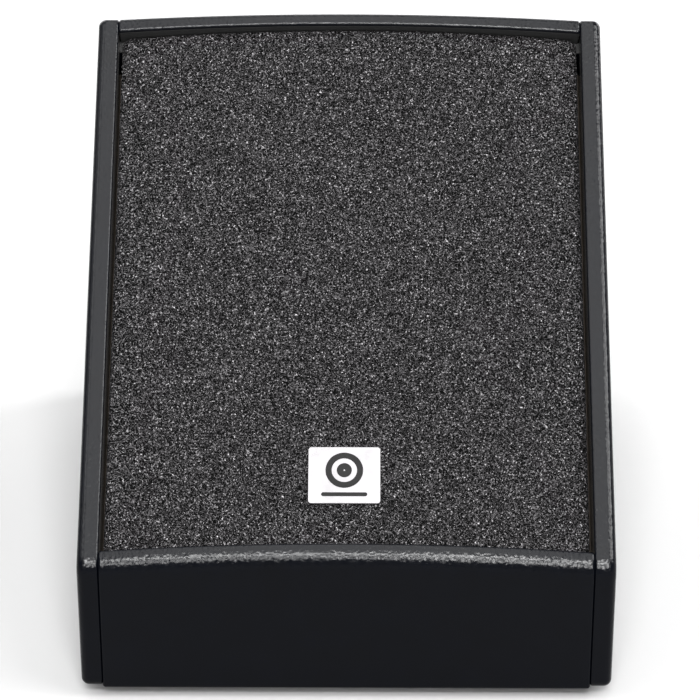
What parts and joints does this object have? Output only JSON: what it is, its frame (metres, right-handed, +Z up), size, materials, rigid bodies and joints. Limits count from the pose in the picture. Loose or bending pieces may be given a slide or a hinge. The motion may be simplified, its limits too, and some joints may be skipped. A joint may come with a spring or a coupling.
{
  "type": "stage monitor wedge",
  "caption": "Low plywood floor monitor with a sloped, foam-fronted coaxial loudspeaker, recessed rear sockets, a pocket handle and rubber feet.",
  "frame": {"origin": "under the middle of the cabinet's bounding box, on the plane that the feet stand on", "axes": "+Z up, -Y towards the performer (the short kick panel faces -Y), +X to the right seen from the performer's side"},
  "size_m": [0.37, 0.4368, 0.3744],
  "materials": {
    "cabinet_paint": "black structured paint on birch plywood",
    "baffle_ply": "black-stained birch plywood",
    "foam": "open-cell reticulated acoustic foam, dark grey",
    "grille_steel": "perforated steel sheet, black powder coat",
    "badge_metal": "satin white anodised plate",
    "zinc_fasteners": "zinc-plated steel",
    "black_fasteners": "black-oxide steel",
    "port_plastic": "moulded black ABS",
    "basket_metal": "die-cast aluminium, black textured coat",
    "suspension_rubber": "black butyl rubber",
    "cone_paper": "coated black paper pulp",
    "spider_cloth": "phenolic-dipped cotton",
    "former": "aluminium foil former",
    "copper_wire": "enamelled copper winding",
    "motor_steel": "machined low-carbon steel, zinc-plated",
    "ferrite": "sintered ferrite",
    "horn_plastic": "moulded black ABS",
    "titanium": "formed titanium foil",
    "terminal_board": "phenolic terminal blocks with solder tabs",
    "circuit_board": "glass-fibre board with green mask",
    "standoff_nylon": "natural nylon",
    "capacitor_film": "film capacitors in yellow wrap",
    "resistor_cement": "cement-cased resistors",
    "lamp_glass": "festoon protection lamp",
    "dish_steel": "pressed steel, black powder coat",
    "socket_plastic": "glass-filled black nylon",
    "contact_metal": "tinned brass tabs",
    "handle_plastic": "moulded black ABS",
    "handle_rubber": "black rubber grip",
    "foot_rubber": "black moulded rubber",
    "damping_wool": "bonded polyester wadding",
    "wire_sleeve": "PVC-sleeved copper wire"
  },
  "bodies": {
    "cabinet": {"side_panel_left": "cabinet_paint", "side_panel_right": "cabinet_paint", "kick_panel": "cabinet_paint", "rear_panel": "cabinet_paint", "bottom_panel": "cabinet_paint", "baffle_board": "baffle_ply", "baffle_battens": "baffle_ply", "acoustic_foam": "foam", "grille": "grille_steel", "badge_plate": "badge_metal", "badge_push_nuts": "zinc_fasteners", "tee_nuts": "zinc_fasteners", "hf_bolts": "zinc_fasteners", "crossover_screws": "zinc_fasteners", "grille_screws": "black_fasteners", "woofer_screws": "black_fasteners", "dish_screws": "black_fasteners", "socket_screws": "black_fasteners", "handle_screws": "black_fasteners", "foot_screws": "black_fasteners", "port_tubes": "port_plastic", "woofer_basket": "basket_metal", "woofer_surround": "suspension_rubber", "woofer_gasket": "suspension_rubber", "woofer_spider": "spider_cloth", "hf_surround": "spider_cloth", "crossover_inductors": "copper_wire", "woofer_top_plate": "motor_steel", "woofer_back_plate": "motor_steel", "hf_front_plate": "motor_steel", "hf_gap_plate": "motor_steel", "hf_pole": "motor_steel", "woofer_magnet": "ferrite", "hf_magnet": "ferrite", "hf_horn": "horn_plastic", "hf_phase_plug": "horn_plastic", "hf_rear_cap": "horn_plastic", "driver_terminals": "terminal_board", "crossover_board": "circuit_board", "crossover_standoffs": "standoff_nylon", "crossover_capacitors": "capacitor_film", "crossover_resistors": "resistor_cement", "protection_lamp": "lamp_glass", "connector_dish": "dish_steel", "socket_input": "socket_plastic", "socket_link": "socket_plastic", "socket_tabs": "contact_metal", "handle_cup": "handle_plastic", "handle_bar": "handle_rubber", "rubber_feet": "foot_rubber", "damping_wool_left": "damping_wool", "damping_wool_right": "damping_wool", "input_wires": "wire_sleeve", "woofer_wires": "wire_sleeve", "hf_wires": "wire_sleeve"},
    "woofer_cone_assembly": {"woofer_cone": "cone_paper", "voice_coil_former": "former", "voice_coil_winding": "copper_wire"},
    "hf_diaphragm_assembly": {"hf_diaphragm": "titanium", "hf_voice_coil": "copper_wire"}
  },
  "joints": [
    {"name": "woofer_travel", "type": "slide", "parent": "cabinet", "child": "woofer_cone_assembly", "axis": [0, -0.6157, 0.788], "range_m": [-0.005, 0.005], "stiffness_N_per_m": 5400, "deforming": ["woofer_surround", "woofer_spider"]},
    {"name": "hf_diaphragm_travel", "type": "slide", "parent": "cabinet", "child": "hf_diaphragm_assembly", "axis": [0, -0.6157, 0.788], "range_m": [-0.0003, 0.0003], "stiffness_N_per_m": 2500, "deforming": ["hf_surround"]}
  ]
}
